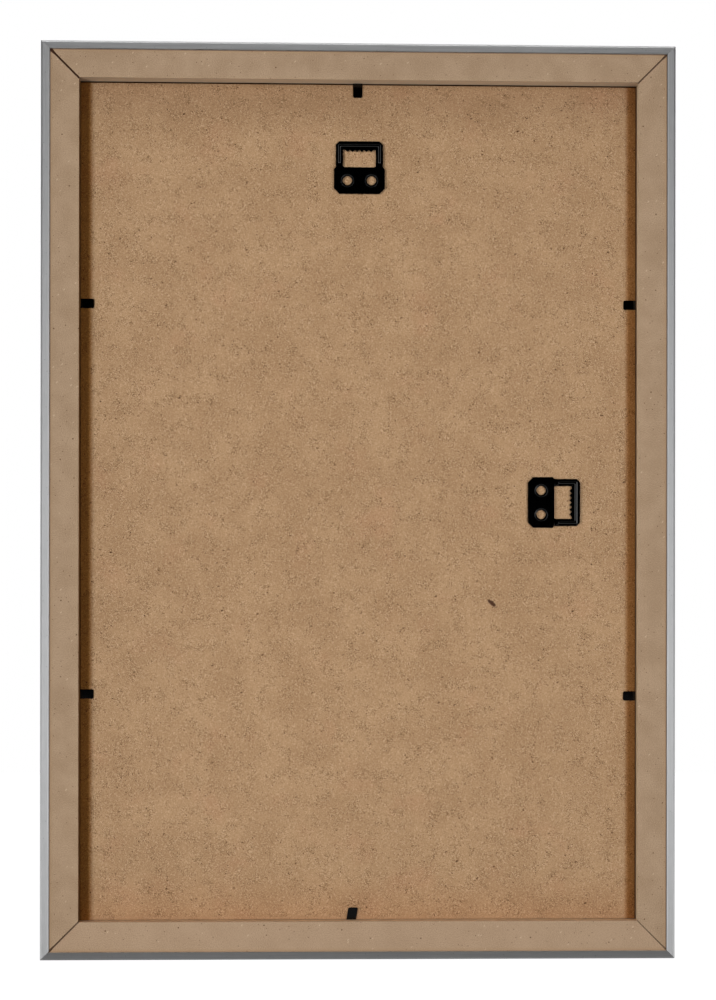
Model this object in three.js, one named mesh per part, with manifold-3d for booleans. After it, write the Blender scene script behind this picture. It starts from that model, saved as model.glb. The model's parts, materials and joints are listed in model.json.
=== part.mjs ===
// MDF picture frame, 30 x 45 cm: mitred foil-wrapped mouldings, glazing, insert, back panel,
// bending tabs and two toothed hangers. Millimetres, +Z up, the back faces +Y and the picture -Y.
// The origin is the nail point: the middle of the upright hanger's toothed edge, on the back plane.
// Left and right are as seen from behind, so left is +X.
import * as THREE from 'three';
import { mergeVertices } from 'three/addons/utils/BufferGeometryUtils.js';
import Module from 'manifold-3d';

// Picture and rebate
const PICTURE_W = 300;
const PICTURE_H = 450;
const REBATE_PLAY_W = 2;
const REBATE_PLAY_H = 4;
const SHEET_PLAY_W = 0.7;
const SHEET_PLAY_H = 0.4;
const STACK_GAP = 0.1;

// Moulding section
const FRAME_DEPTH = 18;
const LIP_DEPTH = 4.7;
const LIP_WIDTH = 5.5;
const BACK_FACE = 16.6;
const BEVEL_WIDTH = 3.2;
const BEVEL_DEPTH = 1.4;
const EDGE_WIDTH = 1.1;
const EDGE_DEPTH = 1.3;
const FRONT_CHAMFER = 1.5;
const SIGHT_CHAMFER = 1.0;
const FOIL = 0.25;
const FOIL_GLUE = 0.1;
const FOIL_RETURN = 3;
const MITRE_GAP = 0.3;

// Sheets held in the rebate
const PANE = 2;
const INSERT = 0.5;
const PANEL = 3;

// V nails in the mitres
const NAIL_HEIGHT = 10;
const NAIL_LEG = 5.5;
const NAIL_STRIP = 0.5;
const NAIL_SUNK = 1;
const NAIL_FIT = 0.1;
const NAIL_INNER = 4.5;
const NAIL_OUTER = 11.5;

// Flexible tabs
const TAB_W = 5.1;
const TAB_STRIP = 0.4;
const TAB_SHANK = 8;
const TAB_TIP_RADIUS = 0.9;
const TAB_SPLIT = 0.3;
const TAB_FIT = 0.15;

// Each tab: the moulding that it is driven into, its place along that moulding from the middle
// (towards +X, or towards +Z), how far its tongue reaches over the panel, and how far it leans,
// in degrees anticlockwise as seen from behind
const TABS = [
  { name: 'top_tab', bar: 'top_rail', along: 1.0, reach: 7.4, lean: 0 },
  { name: 'bottom_tab', bar: 'bottom_rail', along: 4.0, reach: 6.3, lean: -9.3 },
  { name: 'left_upper_tab', bar: 'left_stile', along: 107, reach: 7.4, lean: 0 },
  { name: 'left_lower_tab', bar: 'left_stile', along: -104.5, reach: 7.3, lean: 0 },
  { name: 'right_upper_tab', bar: 'right_stile', along: 107.8, reach: 6.8, lean: 0 },
  { name: 'right_lower_tab', bar: 'right_stile', along: -105.4, reach: 6.8, lean: 0 },
];

// Hangers
const HANGER_SHEET = 0.8;
const HANGER_TO_TOP = 30.4;
const HANGER_TO_SIDE = 29.7;
const PLATE_W = 27.7;
const PLATE_H = 14.5;
const PLATE_CHAMFER = 3;
const BAIL_W = 25.7;
const BAIL_BAR = 4.6;
const BAIL_CHAMFER = 1.9;
const WINDOW_W = 17.8;
const WINDOW_H = 9.5;
const WINDOW_RADIUS = 0.8;
const NECK = 2.1;
const BEND_SPLIT = 0.3;
const TEETH = 6;
const TOOTH_PITCH = 2.55;
const TOOTH_DEPTH = 1.2;
const BEAD_W = 1.9;
const BEAD_H = 0.45;
const HOLE_SPACING = 13.1;
const HOLE_DIAGONAL = 5.3;
const RING_DIAMETER = 7.5;
const RING_W = 0.6;
const RING_H = 0.25;
const PRONG_RELIEF = 0.25;
const PRONG_FIT = 0.15;

const MDF_FACE = new THREE.Color(0xa58b72);
const BOARD = new THREE.Color(0xa98a66);
const SILVER = new THREE.Color(0xb4b5b4);
const BLACK = new THREE.Color(0x0b0b0c);
const CARD = new THREE.Color(0xeeebe4);
const CLEAR = new THREE.Color(0xdfeae6);
const STEEL = new THREE.Color(0x8d8f92);

// Places worked out from the sizes above, seen from the middle of the frame
const halfOpenX = (PICTURE_W + REBATE_PLAY_W) / 2;
const halfOpenZ = (PICTURE_H + REBATE_PLAY_H) / 2;
const outerU = BACK_FACE + BEVEL_WIDTH + EDGE_WIDTH;
const seatY = LIP_DEPTH - FRAME_DEPTH;
const paneTop = seatY + STACK_GAP + PANE;
const insertTop = paneTop + STACK_GAP + INSERT;
const panelTop = insertTop + STACK_GAP + PANEL;
const tabTop = panelTop + STACK_GAP + TAB_STRIP;
const hangerTop = panelTop + STACK_GAP + HANGER_SHEET;
const panelHalfX = halfOpenX - SHEET_PLAY_W;
const panelHalfZ = halfOpenZ - SHEET_PLAY_H;
const sheetFoot = STACK_GAP - halfOpenZ;
const hookHeight = sheetFoot + 2 * panelHalfZ - HANGER_TO_TOP - BAIL_BAR;
const hookSide = panelHalfX - HANGER_TO_SIDE - BAIL_BAR;
const coreInset = FOIL + FOIL_GLUE;

const wasm = await Module();
wasm.setup();

function toSolid(geometry) {
  const bare = geometry.clone();
  bare.deleteAttribute('normal');
  bare.deleteAttribute('uv');
  const merged = mergeVertices(bare, 1e-4);
  return new wasm.Manifold(new wasm.Mesh({
    numProp: 3,
    vertProperties: new Float32Array(merged.attributes.position.array),
    triVerts: new Uint32Array(merged.index.array),
  }));
}

function toGeometry(solid) {
  const mesh = solid.getMesh();
  const geometry = new THREE.BufferGeometry();
  geometry.setAttribute('position', new THREE.BufferAttribute(mesh.vertProperties, mesh.numProp));
  geometry.setIndex(new THREE.BufferAttribute(mesh.triVerts, 1));
  geometry.computeVertexNormals();
  return geometry;
}

function piece(name, geometry, color, roughness, metalness) {
  const mesh = new THREE.Mesh(geometry, new THREE.MeshStandardMaterial({ color, roughness, metalness }));
  mesh.name = name;
  return mesh;
}

// A flat sheet cut to an outline in X and Z, with its upper face at the height top
function sheet(outline, thickness, top) {
  const geometry = new THREE.ExtrudeGeometry(outline, {
    depth: thickness,
    bevelEnabled: false,
    curveSegments: 4,
  });
  return geometry.rotateX(Math.PI / 2).translate(0, top, 0);
}

function polygon(points) {
  return new THREE.Shape(points.map(([x, z]) => new THREE.Vector2(x, z)));
}

// A sheet in the rebate, which rests on the bottom moulding
function board(halfX, halfZ, thickness, top) {
  const geometry = new THREE.BoxGeometry(2 * halfX, thickness, 2 * halfZ);
  return geometry.translate(0, top - thickness / 2, sheetFoot + halfZ);
}

// Moulding section. u runs outwards from the rebate wall and v is the depth, 0 at the back face.
// The wrap starts at the back face and ends on the lip, under the glazing.
const wrapPath = [
  [BACK_FACE, 0],
  [BACK_FACE + BEVEL_WIDTH, -BEVEL_DEPTH],
  [outerU, -BEVEL_DEPTH - EDGE_DEPTH],
  [outerU, FRONT_CHAMFER - FRAME_DEPTH],
  [outerU - FRONT_CHAMFER, -FRAME_DEPTH],
  [SIGHT_CHAMFER - LIP_WIDTH, -FRAME_DEPTH],
  [-LIP_WIDTH, SIGHT_CHAMFER - FRAME_DEPTH],
  [-LIP_WIDTH, seatY],
  [FOIL_RETURN - LIP_WIDTH, seatY],
].map(([u, v]) => new THREE.Vector2(u, v));

// The corner where two lines meet, each given by a point and a direction
function crossing(p, along, q, other) {
  const t = q.clone().sub(p).cross(other) / along.cross(other);
  return p.clone().addScaledVector(along, t);
}

// The wrap's path moved inwards into the moulding, with its first point kept on the back face
function wrapInset(distance) {
  const lines = wrapPath.slice(1).map((end, i) => {
    const along = end.clone().sub(wrapPath[i]).normalize();
    const inwards = new THREE.Vector2(along.y, -along.x);
    return { along, start: wrapPath[i].clone().addScaledVector(inwards, distance) };
  });
  const backFace = { along: new THREE.Vector2(1, 0), start: wrapPath[0] };
  const corners = [backFace, ...lines].slice(0, -1).map((line, i) => (
    crossing(line.start, line.along, lines[i].start, lines[i].along)
  ));
  const last = wrapPath[wrapPath.length - 1].clone();
  return [...corners, last.setY(last.y - distance)];
}

const foilSection = [...wrapPath, ...wrapInset(FOIL).reverse()];
const coreSection = [
  new THREE.Vector2(0, 0),
  ...wrapInset(coreInset),
  new THREE.Vector2(0, seatY - coreInset),
];

// A moulding of a given section, along X, mitred at both ends. halfSpan is half the rebate's length.
function mitredBar(section, halfSpan) {
  const setBack = MITRE_GAP / Math.SQRT2;
  const geometry = new THREE.ExtrudeGeometry(new THREE.Shape(section), { depth: 1, bevelEnabled: false });
  const place = geometry.attributes.position;
  for (let i = 0; i < place.count; i += 1) {
    const u = place.getX(i);
    const end = 1 - 2 * place.getZ(i);
    place.setXYZ(i, end * (halfSpan + u - setBack), place.getY(i), u);
  }
  return geometry;
}

// A V nail seen from behind, its two legs running back from the corner at the outline's origin
function nailOutline(extra) {
  const half = NAIL_STRIP / 2 + extra;
  const far = NAIL_LEG + extra;
  return polygon([
    [half, half],
    [-far, half],
    [-far, -half],
    [-half, -half],
    [-half, -far],
    [half, -far],
  ]);
}

function nailGeometry(extra) {
  return sheet(nailOutline(extra), NAIL_HEIGHT + 2 * extra, extra - NAIL_SUNK);
}

// A tab's outline on the wall's line z = 0: its tongue, with the tip towards +Z, or its shank
function tongueOutline(reach, lean) {
  const side = new THREE.Vector2(Math.sin(lean), Math.cos(lean));
  const across = new THREE.Vector2(side.y, -side.x);
  const half = TAB_W / 2;
  const start = TAB_SPLIT / 2;
  const foot = (sign) => [sign * half / side.y + start * side.x / side.y, start];
  const tip = (sign, inX, inZ) => {
    const corner = side.clone().multiplyScalar(reach / side.y - inZ);
    return corner.addScaledVector(across, sign * (half - inX));
  };
  const outline = new THREE.Shape();
  outline.moveTo(...foot(-1));
  outline.lineTo(...foot(1));
  outline.lineTo(...tip(1, 0, TAB_TIP_RADIUS));
  outline.quadraticCurveTo(...tip(1, 0, 0), ...tip(1, TAB_TIP_RADIUS, 0));
  outline.lineTo(...tip(-1, TAB_TIP_RADIUS, 0));
  outline.quadraticCurveTo(...tip(-1, 0, 0), ...tip(-1, 0, TAB_TIP_RADIUS));
  outline.closePath();
  return outline;
}

function shankOutline(lean, extra) {
  const slope = Math.tan(lean);
  const half = TAB_W / 2 / Math.cos(lean) + extra;
  const start = extra ? extra : -TAB_SPLIT / 2;
  const end = -TAB_SHANK - extra;
  return polygon([
    [-half + start * slope, start],
    [-half + end * slope, end],
    [half + end * slope, end],
    [half + start * slope, start],
  ]);
}

// The four mouldings, each with the turn that brings its outward side from +Z to its own side
const BARS = [
  { name: 'top_rail', turn: 0, halfSpan: halfOpenX, toWall: halfOpenZ },
  { name: 'left_stile', turn: Math.PI / 2, halfSpan: halfOpenZ, toWall: halfOpenX },
  { name: 'bottom_rail', turn: Math.PI, halfSpan: halfOpenX, toWall: halfOpenZ },
  { name: 'right_stile', turn: -Math.PI / 2, halfSpan: halfOpenZ, toWall: halfOpenX },
];

// A tab's place along its moulding's own length, which runs towards -Z on the left and -X at the bottom
function alongBar(tab, bar) {
  const runsForward = bar.name === 'top_rail' || bar.name === 'right_stile';
  return runsForward ? tab.along : -tab.along;
}

const frame = new THREE.Group();
frame.position.z = -hookHeight;

for (const bar of BARS) {
  const side = new THREE.Group();
  side.rotation.y = bar.turn;
  frame.add(side);

  let core = toSolid(mitredBar(coreSection, bar.halfSpan));
  for (const end of [1, -1]) {
    for (const u of [NAIL_INNER, NAIL_OUTER]) {
      const slot = nailGeometry(NAIL_FIT);
      if (end < 0) slot.rotateY(-Math.PI / 2);
      slot.translate(end * (bar.halfSpan + u), 0, u);
      core = core.subtract(toSolid(slot));
    }
  }

  for (const tab of TABS.filter((each) => each.bar === bar.name)) {
    const lean = THREE.MathUtils.degToRad(tab.lean);
    const along = alongBar(tab, bar);
    const slot = sheet(shankOutline(lean, TAB_FIT), TAB_STRIP + 2 * TAB_FIT, tabTop + TAB_FIT);
    core = core.subtract(toSolid(slot.rotateY(Math.PI).translate(along, 0, 0)));

    const shank = sheet(shankOutline(lean, 0), TAB_STRIP, tabTop);
    const tongue = sheet(tongueOutline(tab.reach, lean), TAB_STRIP, tabTop);
    const strip = new THREE.Group();
    strip.rotation.y = Math.PI;
    strip.position.set(along, 0, bar.toWall);
    strip.add(piece(`${tab.name}_shank`, shank, BLACK, 0.35, 0.6));
    strip.add(piece(tab.name, tongue, BLACK, 0.35, 0.6));
    side.add(strip);
  }

  const coreMesh = piece(bar.name, toGeometry(core), MDF_FACE, 0.85, 0);
  const foilMesh = piece(`${bar.name}_foil`, mitredBar(foilSection, bar.halfSpan), SILVER, 0.35, 0.8);
  coreMesh.position.z = bar.toWall;
  foilMesh.position.z = bar.toWall;
  side.add(coreMesh, foilMesh);
}

// V nails, two in each mitre
const CORNERS = [
  { name: 'top_left', x: 1, z: 1, turn: 0 },
  { name: 'bottom_left', x: 1, z: -1, turn: Math.PI / 2 },
  { name: 'bottom_right', x: -1, z: -1, turn: Math.PI },
  { name: 'top_right', x: -1, z: 1, turn: -Math.PI / 2 },
];
for (const corner of CORNERS) {
  for (const [place, u] of [['inner', NAIL_INNER], ['outer', NAIL_OUTER]]) {
    const nail = piece(`v_nail_${corner.name}_${place}`, nailGeometry(0), STEEL, 0.4, 0.9);
    nail.rotation.y = corner.turn;
    nail.position.set(corner.x * (halfOpenX + u), 0, corner.z * (halfOpenZ + u));
    frame.add(nail);
  }
}

// Hanger outlines in X and Z. z = 0 is the toothed edge where the nail rests, and the bail is above it.
const plateTop = -WINDOW_H;
const plateBottom = plateTop - PLATE_H;
const holeZ = plateTop - PLATE_H / 2;
const bendZ = plateTop + NECK / 2;
const bailHalf = BAIL_W / 2;
const plateHalf = PLATE_W / 2;
const windowHalf = WINDOW_W / 2;
const shoulder = plateHalf - bailHalf;

function diamond(x, z, reach) {
  return new THREE.Path([
    new THREE.Vector2(x + reach, z),
    new THREE.Vector2(x, z + reach),
    new THREE.Vector2(x - reach, z),
    new THREE.Vector2(x, z - reach),
  ]);
}

function plateOutline() {
  const stub = bendZ - BEND_SPLIT / 2;
  const radius = Math.min(WINDOW_RADIUS, stub - plateTop);
  const arcZ = plateTop + radius;
  const arcX = windowHalf - radius;
  const outline = new THREE.Shape();
  outline.moveTo(-plateHalf + PLATE_CHAMFER, plateBottom);
  outline.lineTo(plateHalf - PLATE_CHAMFER, plateBottom);
  outline.lineTo(plateHalf, plateBottom + PLATE_CHAMFER);
  outline.lineTo(plateHalf, plateTop - shoulder);
  outline.lineTo(bailHalf, plateTop);
  outline.lineTo(bailHalf, stub);
  outline.lineTo(windowHalf, stub);
  outline.absarc(arcX, arcZ, radius, 0, -Math.PI / 2, true);
  outline.absarc(-arcX, arcZ, radius, -Math.PI / 2, -Math.PI, true);
  outline.lineTo(-windowHalf, stub);
  outline.lineTo(-bailHalf, stub);
  outline.lineTo(-bailHalf, plateTop);
  outline.lineTo(-plateHalf, plateTop - shoulder);
  outline.lineTo(-plateHalf, plateBottom + PLATE_CHAMFER);
  outline.closePath();
  for (const sign of [-1, 1]) {
    outline.holes.push(diamond(sign * HOLE_SPACING / 2, holeZ, HOLE_DIAGONAL / 2));
  }
  return outline;
}

function bailOutline() {
  const foot = bendZ + BEND_SPLIT / 2;
  const teeth = [];
  for (let i = 0; i < TEETH; i += 1) {
    const from = (i - TEETH / 2) * TOOTH_PITCH;
    teeth.push([from, 0], [from + TOOTH_PITCH / 2, -TOOTH_DEPTH]);
  }
  teeth.push([TEETH / 2 * TOOTH_PITCH, 0]);
  return polygon([
    [bailHalf, foot],
    [bailHalf, BAIL_BAR - BAIL_CHAMFER],
    [bailHalf - BAIL_CHAMFER, BAIL_BAR],
    [-bailHalf + BAIL_CHAMFER, BAIL_BAR],
    [-bailHalf, BAIL_BAR - BAIL_CHAMFER],
    [-bailHalf, foot],
    [-windowHalf, foot],
    [-windowHalf, 0],
    ...teeth,
    [windowHalf, 0],
    [windowHalf, foot],
  ]);
}

// The stiffening bead, an upturned U along the middle of the bail's legs and bar, with sloping sides
function beadSolid() {
  const legMiddle = (bailHalf + windowHalf) / 2;
  const foot = plateTop + NECK;
  const out = legMiddle + BEAD_W / 2;
  const inside = legMiddle - BEAD_W / 2;
  const upper = (BAIL_BAR + BEAD_W) / 2;
  const lower = (BAIL_BAR - BEAD_W) / 2;
  const outline = polygon([
    [out, foot],
    [out, upper],
    [-out, upper],
    [-out, foot],
    [-inside, foot],
    [-inside, lower],
    [inside, lower],
    [inside, foot],
  ]);
  const geometry = new THREE.ExtrudeGeometry(outline, {
    depth: HANGER_SHEET / 2,
    bevelEnabled: true,
    bevelThickness: BEAD_H,
    bevelSize: BEAD_H,
    bevelOffset: -BEAD_H,
    bevelSegments: 1,
  });
  geometry.rotateX(Math.PI / 2).translate(0, hangerTop, 0);
  const below = new THREE.BoxGeometry(PLATE_W, HANGER_SHEET, 2 * WINDOW_H + 2 * BAIL_BAR);
  below.translate(0, hangerTop - HANGER_SHEET, 0);
  return toSolid(geometry).subtract(toSolid(below));
}

// The raised ring round a hole
function ringSolid(x) {
  const inner = (RING_DIAMETER - RING_W) / 2;
  const outer = inner + RING_W;
  const root = -HANGER_SHEET / 2;
  const profile = [
    [inner, root],
    [outer, root],
    [outer, 0],
    [(inner + outer) / 2, RING_H],
    [inner, 0],
    [inner, root],
  ].map(([r, y]) => new THREE.Vector2(r, y));
  return toSolid(new THREE.LatheGeometry(profile, 24).translate(x, hangerTop, holeZ));
}

// The four petals that each hole leaves, folded down into the board, or the cuts that they make there
function prongSolids(x, extra) {
  const side = HOLE_DIAGONAL / Math.SQRT2;
  const half = side / 2 - PRONG_RELIEF + 2 * extra;
  const depth = side / 2 + 2 * extra;
  const root = HANGER_SHEET / 2;
  const outline = new THREE.Shape([
    new THREE.Vector2(-half, root),
    new THREE.Vector2(-half, -HANGER_SHEET / 2),
    new THREE.Vector2(0, -HANGER_SHEET / 2 - depth),
    new THREE.Vector2(half, -HANGER_SHEET / 2),
    new THREE.Vector2(half, root),
  ]);
  return [0, 1, 2, 3].map((quarter) => {
    const petal = new THREE.ExtrudeGeometry(outline, { depth: HANGER_SHEET + 2 * extra, bevelEnabled: false });
    petal.translate(0, hangerTop - HANGER_SHEET / 2, side / 2 - extra);
    petal.rotateY(Math.PI / 4 + quarter * Math.PI / 2);
    return toSolid(petal.translate(x, 0, holeZ));
  });
}

const holePlaces = [-HOLE_SPACING / 2, HOLE_SPACING / 2];

function plateSolid() {
  let solid = toSolid(sheet(plateOutline(), HANGER_SHEET, hangerTop));
  for (const x of holePlaces) {
    for (const raised of [ringSolid(x), ...prongSolids(x, 0)]) solid = solid.add(raised);
  }
  return solid;
}

function bailSolid() {
  return toSolid(sheet(bailOutline(), HANGER_SHEET, hangerTop)).add(beadSolid());
}

// The hangers: the upright one hangs the frame upright, the other turns it on its side
const HANGERS = [
  { name: 'portrait_hanger', turn: 0, x: 0, z: hookHeight },
  { name: 'landscape_hanger', turn: -Math.PI / 2, x: -hookSide, z: 0 },
];

let panel = toSolid(board(panelHalfX, panelHalfZ, PANEL, panelTop));
for (const hanger of HANGERS) {
  const place = new THREE.Group();
  place.rotation.y = hanger.turn;
  place.position.set(hanger.x, 0, hanger.z);
  place.add(piece(`${hanger.name}_plate`, toGeometry(plateSolid()), BLACK, 0.3, 0.6));
  place.add(piece(`${hanger.name}_bail`, toGeometry(bailSolid()), BLACK, 0.3, 0.6));
  frame.add(place);

  place.updateMatrix();
  for (const x of holePlaces) {
    for (const cut of prongSolids(x, PRONG_FIT)) {
      panel = panel.subtract(toSolid(toGeometry(cut).applyMatrix4(place.matrix)));
    }
  }
}

frame.add(piece('back_panel', toGeometry(panel), BOARD, 0.8, 0));
frame.add(piece('insert_sheet', board(PICTURE_W / 2, PICTURE_H / 2, INSERT, insertTop), CARD, 0.9, 0));
frame.add(piece('glazing_pane', board(panelHalfX, panelHalfZ, PANE, paneTop), CLEAR, 0.05, 0));

export default new THREE.Group().add(frame);
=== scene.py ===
"""An MDF picture frame seen from behind: foil-wrapped mouldings, board back, bending tabs and hangers.

Metres, +Z up. The back of the frame faces +Y and the picture side faces -Y. Left and right are as
seen from behind, so left is +X.
"""

import json
import math

import bmesh
import bpy
from mathutils import Matrix, Vector
from mathutils.geometry import delaunay_2d_cdt

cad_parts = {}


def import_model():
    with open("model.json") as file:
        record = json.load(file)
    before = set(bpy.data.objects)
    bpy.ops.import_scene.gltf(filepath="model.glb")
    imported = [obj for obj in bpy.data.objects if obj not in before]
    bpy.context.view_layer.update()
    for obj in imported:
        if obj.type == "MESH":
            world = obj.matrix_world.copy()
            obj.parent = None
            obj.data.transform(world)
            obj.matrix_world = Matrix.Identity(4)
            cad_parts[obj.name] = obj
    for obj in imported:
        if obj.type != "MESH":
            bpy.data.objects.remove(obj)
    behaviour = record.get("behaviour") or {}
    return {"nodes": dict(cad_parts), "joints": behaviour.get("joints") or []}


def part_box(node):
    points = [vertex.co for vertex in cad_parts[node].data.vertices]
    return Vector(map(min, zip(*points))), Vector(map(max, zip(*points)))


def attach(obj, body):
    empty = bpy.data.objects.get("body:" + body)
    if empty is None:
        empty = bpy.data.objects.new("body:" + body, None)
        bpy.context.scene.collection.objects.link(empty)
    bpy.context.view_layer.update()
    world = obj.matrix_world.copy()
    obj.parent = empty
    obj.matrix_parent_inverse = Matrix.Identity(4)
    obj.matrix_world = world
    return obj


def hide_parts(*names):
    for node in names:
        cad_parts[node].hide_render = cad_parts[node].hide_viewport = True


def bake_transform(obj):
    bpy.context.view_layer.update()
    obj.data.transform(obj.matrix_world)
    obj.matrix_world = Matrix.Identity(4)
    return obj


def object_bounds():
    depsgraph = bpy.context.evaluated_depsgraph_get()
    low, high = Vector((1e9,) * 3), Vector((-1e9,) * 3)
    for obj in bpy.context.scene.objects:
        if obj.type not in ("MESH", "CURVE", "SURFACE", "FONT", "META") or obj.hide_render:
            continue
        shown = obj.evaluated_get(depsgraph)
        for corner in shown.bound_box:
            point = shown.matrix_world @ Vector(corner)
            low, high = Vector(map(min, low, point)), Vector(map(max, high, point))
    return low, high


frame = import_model()

MM = 0.001
UP = Vector((0, 1, 0))

# Read from the frame
CAD_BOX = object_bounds()
MIDDLE_Z = (CAD_BOX[0].z + CAD_BOX[1].z) / 2
JOINTS = {joint["name"]: joint for joint in frame["joints"]}

# Moulding section, in u outwards from the rebate wall and v in depth from the back face
FRAME_DEPTH = 18 * MM
LIP_DEPTH = 4.7 * MM
LIP_WIDTH = 5.5 * MM
BACK_FACE = 16.6 * MM
BEVEL_WIDTH = 3.2 * MM
BEVEL_DEPTH = 1.4 * MM
EDGE_WIDTH = 1.1 * MM
EDGE_DEPTH = 1.3 * MM
FRONT_CHAMFER = 1.5 * MM
SIGHT_CHAMFER = 1.0 * MM
FOIL = 0.1 * MM
FOIL_GLUE = 0.02 * MM
FOIL_RETURN = 3 * MM
MITRE_SET_BACK = 0.02 * MM
MITRE_CHAMFER = 0.08 * MM
FOLD_RADIUS = 0.7 * MM
FRONT_RADIUS = 0.9 * MM
CORE_RADIUS = 0.12 * MM
FOLD_SMOOTHING = math.radians(16)
TOP_WALL_BACK = 0.32 * MM
FOIL_LAP = {
    "top_rail": 0.6 * MM,
    "left_stile": 0.65 * MM,
    "bottom_rail": 0.05 * MM,
    "right_stile": 0.5 * MM,
}
OUTER = BACK_FACE + BEVEL_WIDTH + EDGE_WIDTH
SEAT = LIP_DEPTH - FRAME_DEPTH
CORE_FACE = BACK_FACE - (FOIL + FOIL_GLUE) * math.hypot(BEVEL_WIDTH, BEVEL_DEPTH) / BEVEL_DEPTH
HALF_OPEN_X = CAD_BOX[1].x - OUTER
HALF_OPEN_Z = CAD_BOX[1].z - MIDDLE_Z - OUTER

# Each moulding's name, its turn about Y, half the opening along it, and the way from the middle to its wall
BARS = (
    ("top_rail", 0, HALF_OPEN_X, HALF_OPEN_Z),
    ("left_stile", math.pi / 2, HALF_OPEN_Z, HALF_OPEN_X),
    ("bottom_rail", math.pi, HALF_OPEN_X, HALF_OPEN_Z),
    ("right_stile", -math.pi / 2, HALF_OPEN_Z, HALF_OPEN_X),
)

# Board and pane, and the fleck of bark in the board
BOARD_CORNER = 0.6 * MM
BOARD_EDGE = 0.12 * MM
BOARD_WIDER = 0.45 * MM
PANE_ARRIS = 0.25 * MM
BARK_X = -72.6 * MM
BARK_Z = -246.3 * MM
BARK_LENGTH = 5.6 * MM
BARK_WIDTH = 2.0 * MM
BARK_TURN = math.radians(42)

# Hangers, in their own x and z with z = 0 at the toothed edge
HANGER_SHEET = 0.8 * MM
PLATE_HALF = 13.85 * MM
PLATE_HEIGHT = 14.5 * MM
PLATE_CHAMFER = 3 * MM
BAIL_HALF = 12.85 * MM
BAIL_BAR = 4.6 * MM
BAIL_CHAMFER = 1.9 * MM
PLATE_RADIUS = 0.5 * MM
SHOULDER_RADIUS = 0.3 * MM
BAIL_RADIUS = 0.9 * MM
WINDOW_HALF = 8.9 * MM
WINDOW_HEIGHT = 9.5 * MM
WINDOW_RADIUS = 0.8 * MM
WINDOW_TOP_RADIUS = 0.5 * MM
NECK = 2.1 * MM
TEETH = 6
TOOTH_PITCH = 2.55 * MM
TOOTH_DEPTH = 1.2 * MM
TOOTH_RADIUS = 0.16 * MM
HOLE_HALF_SPACING = 6.55 * MM
HOLE_REACH = 3.35 * MM
HOLE_RADIUS = 2.0 * MM
RING_RADIUS = 3.45 * MM
RING_HALF_WIDTH = 0.18 * MM
RING_HEIGHT = 0.052 * MM
PRONG_DEPTH = 1.9 * MM
PRONG_SHEET = 0.5 * MM
PRONG_CLEAR = 0.05 * MM
PRONG_WIDER = 0.4 * MM
SHEET_EDGE = 0.12 * MM

# Bead of a bail: half its width, and its profile as the way in from its foot and the height, in mm
BEAD_HALF = 0.72 * MM
BEAD_PROFILE = ((0.0, 0.0), (0.02, 0.005), (0.05, 0.016), (0.35, 0.148), (0.38, 0.158), (0.42, 0.164),
                (0.47, 0.165))

# Tabs, in their own x and z with z = 0 at the rebate wall
TAB_HALF = 2.55 * MM
TAB_SHEET = 0.4 * MM
TAB_SHANK = 8 * MM
TAB_TIP_RADIUS = 0.9 * MM
TAB_EDGE = 0.1 * MM
TAB_BEND = 1.2 * MM
TAB_LEAN = {"bottom_tab": math.radians(-9.3)}

# Camera and studio
CAMERA_PLACE = (0.03072, 1.04352, -0.26714)
CAMERA_YAW = math.radians(-1.65)
CAMERA_ROLL = math.radians(0.07)
FOCAL_LENGTH = 69.62
SENSOR = 36.0
LENS_RISE = 0.14145
LEFT_DISTANCE = 0.313
RIGHT_DISTANCE = 0.336
LEFT_SLOPE = 0.776
RIGHT_SLOPE = 0.653
LEFT_AIM = 0.054
RIGHT_AIM = -0.104
LEFT_BEAM = math.radians(62.6)
RIGHT_BEAM = math.radians(57.3)
LAMP_WIDTH = 0.13
LAMP_HEIGHT = 0.76
LEFT_POWER = 0.68
RIGHT_POWER = 0.417
FRONT_ASIDE = 0.75
FRONT_DISTANCE = 0.9
FRONT_RISE = 0.35
FRONT_SIZE = (0.5, 0.7)
FRONT_POWER = 3.0
AMBIENT = 0.05
FLOOR_DROP = 0.3
FLOOR_RADIUS = 6.0

# Brightness of what gloss shows: the room behind the frame, the backdrop before it, and the floor
ROOM_DIM = 0.08
ROOM_TOP = 2.5
ROOM_BEHIND = 0.01
WALL_LOW = 4.4
WALL_HIGH = 0.3
WALL_LEFT = 0.98
WALL_RIGHT = 0.87
WALL_EDGE_ON = 0.28
WALL_FRONT = 0.3
BACKDROP = 0.8
FLOOR_SHEEN = 0.12
FLOOR_SHEEN_BESIDE = 1.1
FLOOR_GLOSS = 0.09
FLOOR_GLOW = 0.4


def srgb(red, green, blue):
    """A colour given as it shows on screen, 0 to 255, as the linear colour that a shader takes."""
    def linear(value):
        share = value / 255
        return share / 12.92 if share <= 0.04045 else ((share + 0.055) / 1.055) ** 2.4
    return (linear(red), linear(green), linear(blue), 1.0)


# Shader building blocks


def add(tree, kind, inputs=None, **settings):
    """A new shader node. Each input, by name or number, is linked to a socket or filled with a value."""
    made = tree.nodes.new(kind)
    for name, value in settings.items():
        setattr(made, name, value)
    for key, value in (inputs or {}).items():
        if isinstance(value, bpy.types.NodeSocket):
            tree.links.new(value, made.inputs[key])
        else:
            made.inputs[key].default_value = value
    return made


def math_node(tree, operation, *values):
    return add(tree, "ShaderNodeMath", dict(enumerate(values)), operation=operation).outputs[0]


def ramp(tree, value, low, high, to_low=0.0, to_high=1.0):
    """A smooth step from to_low to to_high as value goes from low to high."""
    inputs = {"Value": value, "From Min": low, "From Max": high, "To Min": to_low, "To Max": to_high}
    return add(tree, "ShaderNodeMapRange", inputs, interpolation_type="SMOOTHSTEP").outputs[0]


def mix(tree, factor, first, second, blend="MIX"):
    inputs = {0: factor, 6: first, 7: second}
    made = add(tree, "ShaderNodeMix", inputs, data_type="RGBA", blend_type=blend)
    return made.outputs[2]


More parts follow.
